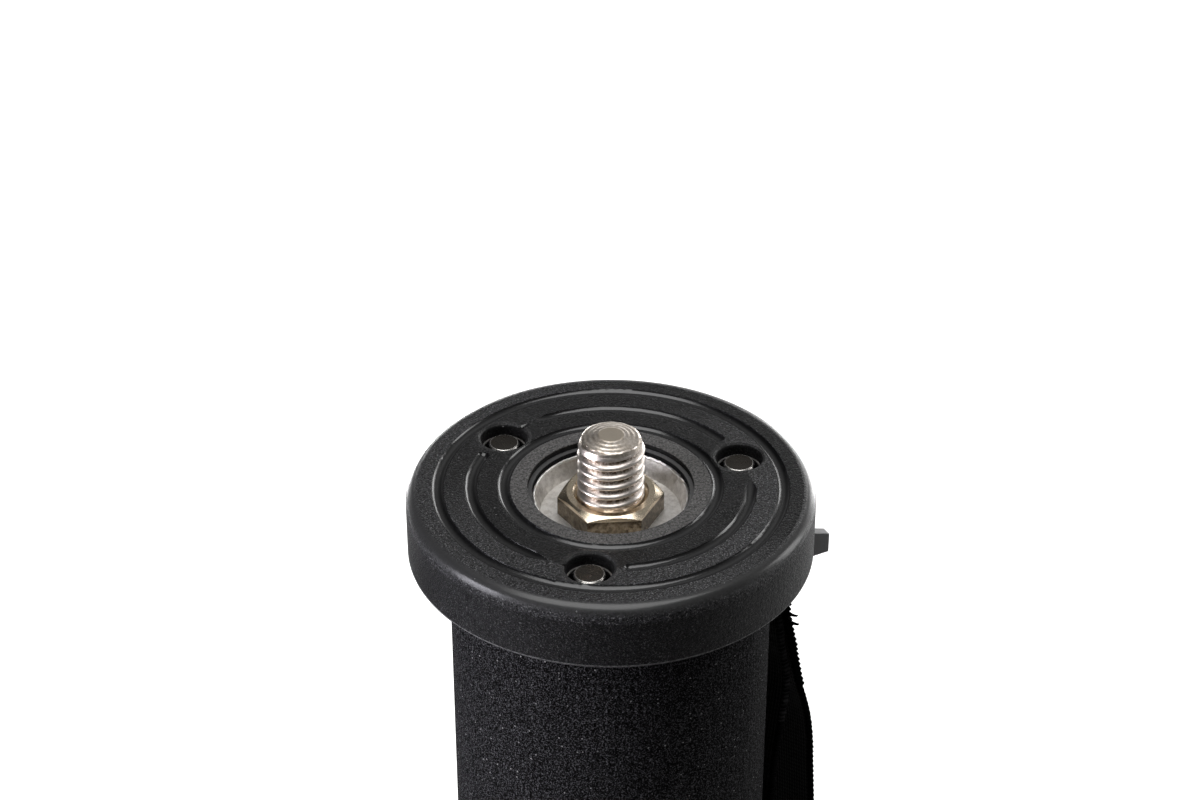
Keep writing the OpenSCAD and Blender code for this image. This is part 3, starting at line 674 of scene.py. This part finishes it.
def settle(piece):
    only(piece)
    bpy.ops.object.transform_apply(location=True, rotation=True, scale=True)


def choose(piece, kind, test):
    bpy.ops.object.mode_set(mode="OBJECT")
    mesh = piece.data
    for group in (mesh.vertices, mesh.edges, mesh.polygons):
        group.foreach_set("select", [False] * len(group))
    spots = [vertex.co / mm for vertex in mesh.vertices]
    for item in getattr(mesh, kind):
        ends = item.vertices if kind == "edges" else [item.index]
        item.select = test(*(spots[i] for i in ends))
    bpy.ops.object.mode_set(mode="EDIT")
    bpy.ops.mesh.select_mode(type={"vertices": "VERT", "edges": "EDGE"}[kind])


def cleanUp(piece):
    only(piece)
    bpy.ops.object.mode_set(mode="EDIT")
    bpy.ops.mesh.select_mode(type="VERT")
    bpy.ops.mesh.select_all(action="SELECT")
    bpy.ops.mesh.remove_doubles(threshold=mergeGap * mm)
    bpy.ops.mesh.dissolve_degenerate(threshold=mergeGap * mm)
    bpy.ops.mesh.select_all(action="SELECT")
    bpy.ops.mesh.normals_make_consistent(inside=False)
    bpy.ops.object.mode_set(mode="OBJECT")


def applyAll(piece):
    only(piece)
    for modifier in list(piece.modifiers):
        bpy.ops.object.modifier_apply(modifier=modifier.name)


def finishPiece(piece, name, body, material, angle=60):
    settle(piece)
    piece.name = name
    piece.data.materials.clear()
    piece.data.materials.append(material)
    only(piece)
    bpy.ops.object.shade_smooth_by_angle(angle=radians(angle))
    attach(piece, body)
    return piece


# Threaded stud: a helix turned out of a coned bar
studSet = {
    "pitch": 1.5875, "crest": 4.725, "root": 3.88, "round": 0.65, "start": -2.6, "turns": 8,
    "steps": 96, "points": 16, "merge": 0.0005, "tip": 8.5, "tipR": 1.68, "coneR": 4.1, "coneH": 0.6,
    "taper": 0.36, "foot": -13.45, "shank": 4.7, "atEnd": 0.002, "atRim": 0.05,
}


def threadLine():
    depth = studSet["crest"] - studSet["root"]
    line = []
    for k in range(studSet["points"] + 1):
        along = k / studSet["points"]
        rise = (0.5 - 0.5 * cos(2 * pi * along)) ** studSet["round"]  # rolled, round at crest and root
        line.append((studSet["root"] + depth * rise, studSet["pitch"] * along))
    return line


def barRadius(z):
    cone = studSet["tip"] - studSet["coneH"]
    if z >= cone:
        return studSet["coneR"] + (studSet["tipR"] - studSet["coneR"]) * (z - cone) / studSet["coneH"]
    return min(studSet["crest"], studSet["coneR"] + (cone - z) * studSet["taper"])


def makeStud():
    line = threadLine()
    bpy.ops.object.select_all(action="DESELECT")
    bpy.ops.mesh.primitive_circle_add(vertices=len(line), radius=mm, fill_type="NOTHING")
    stud = bpy.context.active_object
    for vertex, (r, z) in zip(stud.data.vertices, line):
        vertex.co = Vector((r, 0, plateTop + studSet["start"] + z)) * mm
    choose(stud, "edges", lambda a, b: abs(a.z - b.z) > studSet["pitch"] / 2)  # the closing edge
    bpy.ops.mesh.delete(type="EDGE")
    bpy.ops.object.mode_set(mode="OBJECT")
    helix = stud.modifiers.new("helix", "SCREW")
    helix.axis = "Z"
    helix.angle = 2 * pi
    helix.screw_offset = studSet["pitch"] * mm
    helix.iterations = studSet["turns"]
    helix.steps = helix.render_steps = studSet["steps"]
    helix.use_merge_vertices = True
    helix.merge_threshold = studSet["merge"] * mm
    applyAll(stud)
    low, high = plateTop + studSet["start"] + studSet["pitch"], plateTop + studSet["tip"]
    for vertex in stud.data.vertices:  # turn the bar to its cone and its length
        spot = vertex.co / mm
        z = min(max(spot.z, low), high)
        r = hypot(spot.x, spot.y)
        keep = min(r, barRadius(z - plateTop))
        if z == low:
            keep = studSet["shank"]
        vertex.co = Vector((spot.x * keep / r, spot.y * keep / r, z)) * mm
    cleanUp(stud)
    choose(stud, "vertices", lambda spot: abs(spot.z - high) < studSet["atEnd"])
    bpy.ops.mesh.edge_face_add()
    choose(stud, "vertices", lambda spot: abs(spot.z - low) < studSet["atEnd"])
    bpy.ops.mesh.edge_face_add()
    bpy.ops.mesh.extrude_region_move(
        TRANSFORM_OT_translate={"value": (0, 0, (plateTop + studSet["foot"] - low) * mm)})
    bpy.ops.object.mode_set(mode="OBJECT")
    cleanUp(stud)
    near = studSet["atRim"]
    for rim in (high, high - studSet["coneH"]):
        choose(stud, "edges", lambda a, b: abs(a.z - rim) < near and abs(b.z - rim) < near
               and abs(hypot(a.x, a.y) - hypot(b.x, b.y)) < near)
        bpy.ops.mesh.mark_sharp()
        bpy.ops.object.mode_set(mode="OBJECT")
    finishPiece(stud, "threadedStud", "section_1", finishes["stud_nickel"])
    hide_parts("camera_stud")


makeStud()
print("stud threaded")


# Ragged edge that the casting tool left on the cup, with one torn burr
rimSet = {"ring": 10.78, "wire": 0.19, "depth": 1.8, "around": 260, "sides": 8, "rough": 0.2,
          "waves": ((9, 0.6), (31, 0.5)), "burrAt": -7.0, "burrHalf": 0.07, "burr": 0.55}


def makeCupRim():
    middle = plateTop - rimSet["depth"]
    bpy.ops.object.select_all(action="DESELECT")
    bpy.ops.mesh.primitive_torus_add(major_radius=rimSet["ring"] * mm, minor_radius=rimSet["wire"] * mm,
                                     major_segments=rimSet["around"], minor_segments=rimSet["sides"],
                                     location=(0, 0, middle * mm))
    rim = bpy.context.active_object
    settle(rim)
    for vertex in rim.data.vertices:
        spot = vertex.co / mm
        r, turn = hypot(spot.x, spot.y), atan2(spot.y, spot.x)
        way = Vector((cos(turn), sin(turn), 0))
        ragged = sum(noise.noise(way * often) * share for often, share in rimSet["waves"])
        near = max(0.0, 1 - abs(turn - radians(rimSet["burrAt"])) / rimSet["burrHalf"])
        burr = near * rimSet["burr"]
        out = (r - rimSet["ring"]) * (1 + 0.4 * ragged) - rimSet["rough"] * ragged * 0.5 - burr * 0.6
        lift = (spot.z - middle) * (1.3 + ragged) + rimSet["rough"] * max(ragged, 0) + burr * 0.5
        vertex.co = (way * (rimSet["ring"] + out) + Vector((0, 0, middle + lift))) * mm
    cleanUp(rim)
    tornAlloy = plating("tornAlloy", (0.95, 0.94, 0.92), 0.34, 0.6, 0.05)
    finishPiece(rim, "cupRim", "section_1", tornAlloy, 50)


makeCupRim()
print("cup rim torn")


# Foam sleeve
gripSet = {"segments": 144, "rows": 64, "clear": 0.05, "skin": 0.1, "level": 0.01, "round": 2.5,
           "roundSteps": 6, "lumps": 0.1, "lumpSize": 6.0, "lumpMiddle": 0.75}


def makeGrip():
    low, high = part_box("foam_grip")
    outer = high[0] / mm
    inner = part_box("tube_1")[1][0] / mm + gripSet["clear"]
    tall = (high[2] - low[2]) / mm
    middle = (high[2] + low[2]) / 2
    bpy.ops.object.select_all(action="DESELECT")
    bpy.ops.mesh.primitive_cylinder_add(vertices=gripSet["segments"], radius=outer * mm, depth=tall * mm,
                                        location=(0, 0, middle), end_fill_type="NOTHING")
    grip = bpy.context.active_object
    settle(grip)
    wall = grip.modifiers.new("wall", "SOLIDIFY")
    wall.thickness = (outer - inner) * mm
    wall.offset = -1.0
    applyAll(grip)
    skin = outer - gripSet["skin"]
    choose(grip, "edges", lambda a, b: hypot(a.x, a.y) > skin and hypot(b.x, b.y) > skin
           and abs(a.z - b.z) < gripSet["level"])
    bpy.ops.mesh.bevel(offset=gripSet["round"] * mm, segments=gripSet["roundSteps"], affect="EDGES")
    choose(grip, "edges", lambda a, b: abs(a.z - b.z) > tall / 2 and hypot(a.x, a.y) > skin)
    bpy.ops.mesh.subdivide(number_cuts=gripSet["rows"])
    bpy.ops.object.mode_set(mode="OBJECT")
    pores = bpy.data.textures.new("foamLumps", "CLOUDS")
    pores.noise_scale = gripSet["lumpSize"] * mm
    pores.noise_depth = 2
    swell = grip.modifiers.new("lumps", "DISPLACE")
    swell.texture = pores
    swell.texture_coords = "LOCAL"
    swell.strength = gripSet["lumps"] * mm
    swell.mid_level = gripSet["lumpMiddle"]
    applyAll(grip)
    cleanUp(grip)
    finishPiece(grip, "foamSleeve", "section_1", finishes["foam"])
    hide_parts("foam_grip")
    print("foam sleeve from", round(low[2] / mm, 1), "to", round(high[2] / mm, 1))


makeGrip()


# Wrist strap: its points are shares of the bow out from the grip and of the fall under the plate's top
strapSet = {
    "width": 16.4, "thick": 1.0, "gripSide": 23.6, "bow": 11.8, "fall": 173.5, "stack": 1.2,
    "slack": (0, 0.45, 0.7), "bar": (26.05, -13.35), "wrap": 2.15, "wrapTurns": (180, 135, 90, 45, 0),
    "smooth": 12, "step": 0.25, "saw": 1.0, "sawDepth": 1.5, "sawThick": 0.9, "whole": 0.2,
    "torn": (17, 40), "selvageFrom": 0.93, "selvage": 0.07, "pulled": 0.15,
    "ragged": 0.2, "raggedStep": 0.31, "raggedRow": 4.2,
}
fromBar = [(0.34, 0.0893), (0.2, 0.1124)]
sewnShare = [(0, 0.141), (0.076, 0.184), (0.17, 0.225)]
outerShare = [(0.525, 0.277), (0.61, 0.346), (0.763, 0.519), (0.983, 0.72), (1, 0.865), (0.847, 0.963)]
lowest = (0.525, 1)
innerShare = [(0.186, 0.963), (0.051, 0.865), (0.017, 0.692), (0, 0.519), (0.017, 0.346), (0.102, 0.277)]
toBar = [(0.008, 0.1124), (0.017, 0.0893)]


def hung(share, off=0.0):
    return Vector((strapSet["gripSide"] + off + share[0] * strapSet["bow"], -share[1] * strapSet["fall"]))


def strapPoints():
    barX, barZ = strapSet["bar"]
    wrap = strapSet["wrap"]
    overBar = [Vector((barX + wrap * cos(radians(a)), barZ + wrap * sin(radians(a))))
               for a in strapSet["wrapTurns"]]
    sewn = [hung(share, strapSet["stack"] + slack) for share, slack in zip(sewnShare, strapSet["slack"])]
    outer = [hung(share) for share in fromBar] + sewn + [hung(share) for share in outerShare]
    inner = [hung(share) for share in [lowest] + innerShare + sewnShare[::-1] + toBar]
    return overBar + outer + inner


def roundLine(points, steps):
    count = len(points)
    line = []
    for i in range(count):
        a, b, c, d = (points[(i + k) % count] for k in (-1, 0, 1, 2))
        for s in range(steps):
            t = s / steps
            line.append(0.5 * (2 * b + (c - a) * t + (2 * a - 5 * b + 4 * c - d) * t ** 2
                               + (3 * b - a - 3 * c + d) * t ** 3))
    return line


def evenLine(line, step):
    lengths = [0.0]
    for a, b in zip(line, line[1:] + line[:1]):
        lengths.append(lengths[-1] + (b - a).length)
    total = lengths[-1]
    count = int(total / step)
    even, k = [], 0
    for i in range(count):
        want = total * i / count
        while lengths[k + 1] < want:
            k += 1
        share = (want - lengths[k]) / (lengths[k + 1] - lengths[k])
        even.append(line[k].lerp(line[(k + 1) % len(line)], share))
    return even, total


strapLine, strapLength = evenLine(roundLine(strapPoints(), strapSet["smooth"]), strapSet["step"])


def strapWay(i):
    ahead = strapLine[(i + 1) % len(strapLine)] - strapLine[i - 1]
    ahead.normalize()
    return ahead, Vector((-ahead.y, ahead.x))  # along the strap, and out of its loop


def makeStrap():
    half, thick = strapSet["width"] / 2, strapSet["thick"] / 2
    columns = [(-1, -0.45), (-0.985, -0.85), (-0.95, -1.05), (-0.9, -0.95), (-0.6, -1), (-0.2, -1),
               (0.2, -1), (0.6, -1), (0.9, -0.95), (0.95, -1.05), (0.985, -0.85), (1, -0.45)]
    section = columns + [(a, -n) for a, n in reversed(columns)]
    spots, faces, maps = [], [], []
    count, ring = len(strapLine), len(section)
    for i, point in enumerate(strapLine):
        out = strapWay(i)[1]
        saw = abs((i * strapSet["step"] / strapSet["saw"]) % 1 * 2 - 1) - 0.5
        torn = i < count / 2 and strapSet["torn"][0] < -point.y < strapSet["torn"][1]
        saw *= 1.0 if torn else strapSet["whole"]  # the sewn end's selvage is torn
        ragged = noise.noise(Vector((i * strapSet["raggedStep"], strapSet["raggedRow"], 0)))
        reach = saw * strapSet["sawDepth"] - strapSet["pulled"] + ragged * strapSet["ragged"]
        for across, over in section:
            edge = max(0.0, (abs(across) - strapSet["selvageFrom"]) / strapSet["selvage"])
            y = across * half + (1 if across > 0 else -1) * edge * reach
            spot = point + out * (over * thick * (1 + edge * saw * strapSet["sawThick"]))
            spots.append(Vector((spot.x, y, plateTop + spot.y)) * mm)
    for i in range(count):
        start, end = i / count, (i + 1) / count
        for k in range(ring):
            j, m = (i + 1) % count, (k + 1) % ring
            faces.append((i * ring + k, i * ring + m, j * ring + m, j * ring + k))
            left, right = (section[k][0] + 1) / 2, (section[m][0] + 1) / 2
            maps += [(start, left), (start, right), (end, right), (end, left)]
    mesh = bpy.data.meshes.new("wristWebbing")
    mesh.from_pydata(spots, [], faces)
    layer = mesh.uv_layers.new(name="weave")
    for loop, uv in zip(layer.data, maps):
        loop.uv = uv
    strap = bpy.data.objects.new("wristWebbing", mesh)
    bpy.context.scene.collection.objects.link(strap)
    only(strap)
    bpy.ops.object.mode_set(mode="EDIT")
    bpy.ops.mesh.select_all(action="SELECT")
    bpy.ops.mesh.normals_make_consistent(inside=False)
    bpy.ops.object.mode_set(mode="OBJECT")
    finishPiece(strap, "wristWebbing", "strap", webbingWeave(strapSet["width"], strapLength))
    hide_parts("wrist_strap")
    return strap


strap = makeStrap()


# Stitches and frayed threads on the strap, each modelled once and copied
stitchSet = {"long": 1.7, "wide": 0.36, "high": 0.24, "endShare": 0.3, "dip": 0.06, "lift": 0.02,
             "pitch": 2.1, "top": 26.0, "low": 38.6, "side": 6.1}
fraySet = {
    "radius": 0.27, "long": 1.5, "curl": 0.55, "thin": 0.35, "sides": 6, "cuts": 4, "inset": 0.3, "droop": 0.7,
    "ends": [(25.3, 12, 0.8), (25.9, 34, 1.1), (26.5, -10, 0.8),  # drop, turn and size of each
             (27.2, 25, 1.15), (28.1, 50, 0.7), (29.2, 5, 0.6)],
}


def copies(model, places):
    made = []
    for place in places:
        piece = bpy.data.objects.new(model.name, model.data.copy())
        piece.data.transform(place)
        bpy.context.scene.collection.objects.link(piece)
        made.append(piece)
    bpy.data.objects.remove(model)
    only(made[0])
    for piece in made[1:]:
        piece.select_set(True)
    bpy.ops.object.join()
    return made[0]


def onOuterRun(drop, y, lift):
    i = min(range(len(strapLine) // 2), key=lambda k: abs(strapLine[k].y + drop))
    ahead, out = strapWay(i)
    spot = strapLine[i] + out * (strapSet["thick"] / 2 + lift)
    return Vector((spot.x, y, plateTop + spot.y)), Vector((ahead.x, 0, ahead.y)), Vector((out.x, 0, out.y))


def facing(spot, way, up):
    place = Matrix((way, up.cross(way), up)).transposed().to_4x4()
    place.translation = spot * mm
    return place


def makeStitches():
    bpy.ops.object.select_all(action="DESELECT")
    bpy.ops.mesh.primitive_uv_sphere_add(segments=8, ring_count=6, radius=0.5 * mm)
    stitch = bpy.context.active_object
    stitch.scale = (stitchSet["long"], stitchSet["wide"], stitchSet["high"])
    settle(stitch)
    choose(stitch, "vertices", lambda spot: abs(spot.x) > stitchSet["long"] * stitchSet["endShare"])
    bpy.ops.transform.translate(value=(0, 0, -stitchSet["dip"] * mm))  # the ends go down into the webbing
    bpy.ops.object.mode_set(mode="OBJECT")
    top, low, side = stitchSet["top"], stitchSet["low"], stitchSet["side"]
    rows = [((top, -side), (low, -side)), ((top, side), (low, side)), ((top, -side), (top, side)),
            ((low, -side), (low, side)), ((top, -side), (low, side)), ((top, side), (low, -side))]
    places = []
    for start, end in rows:
        run = Vector(end) - Vector(start)
        count = round(run.length / stitchSet["pitch"])
        for k in range(count):
            drop, y = Vector(start) + run * (k + 0.5) / count
            spot, along, up = onOuterRun(drop, y, stitchSet["lift"])
            places.append(facing(spot, (along * run.x + Vector((0, run.y, 0))).normalized(), up))
    thread = moulding("stitchThread", 0.012, 0.6, 3.0, 0.05)
    return finishPiece(copies(stitch, places), "boxStitches", "strap", thread)


def makeFray():
    long = fraySet["long"]
    bpy.ops.object.select_all(action="DESELECT")
    bpy.ops.mesh.primitive_cylinder_add(vertices=fraySet["sides"], radius=fraySet["radius"] * mm,
                                        depth=long * mm, location=(0, 0, long * 0.5 * mm))
    thread = bpy.context.active_object
    settle(thread)
    choose(thread, "edges", lambda a, b: abs(a.z - b.z) > long / 2)
    bpy.ops.mesh.subdivide(number_cuts=fraySet["cuts"])
    bpy.ops.object.mode_set(mode="OBJECT")
    for vertex in thread.data.vertices:  # curl the thread and thin it to its end
        share = vertex.co.z / (long * mm)
        vertex.co.x = vertex.co.x * (1 - share * fraySet["thin"]) + fraySet["curl"] * mm * share ** 2
        vertex.co.y *= 1 - share * fraySet["thin"]
    places = []
    for drop, turn, size in fraySet["ends"]:
        spot, along, out = onOuterRun(drop, -strapSet["width"] / 2 + fraySet["inset"], -strapSet["thick"] / 2)
        way = Vector((0, -cos(radians(turn)), 0)) + out * sin(radians(turn)) + along * fraySet["droop"]
        way.normalize()
        bend = way.cross(out).normalized()
        places.append(facing(spot, bend.cross(way), way) @ Matrix.Scale(size, 4))
    weave = bpy.data.materials["webbingWeave"]
    return finishPiece(copies(thread, places), "frayedThreads", "strap", weave)


strapExtras = [makeStitches(), makeFray()]
strapLength * mm
print("strap hung, flat length", round(strapLength, 1))
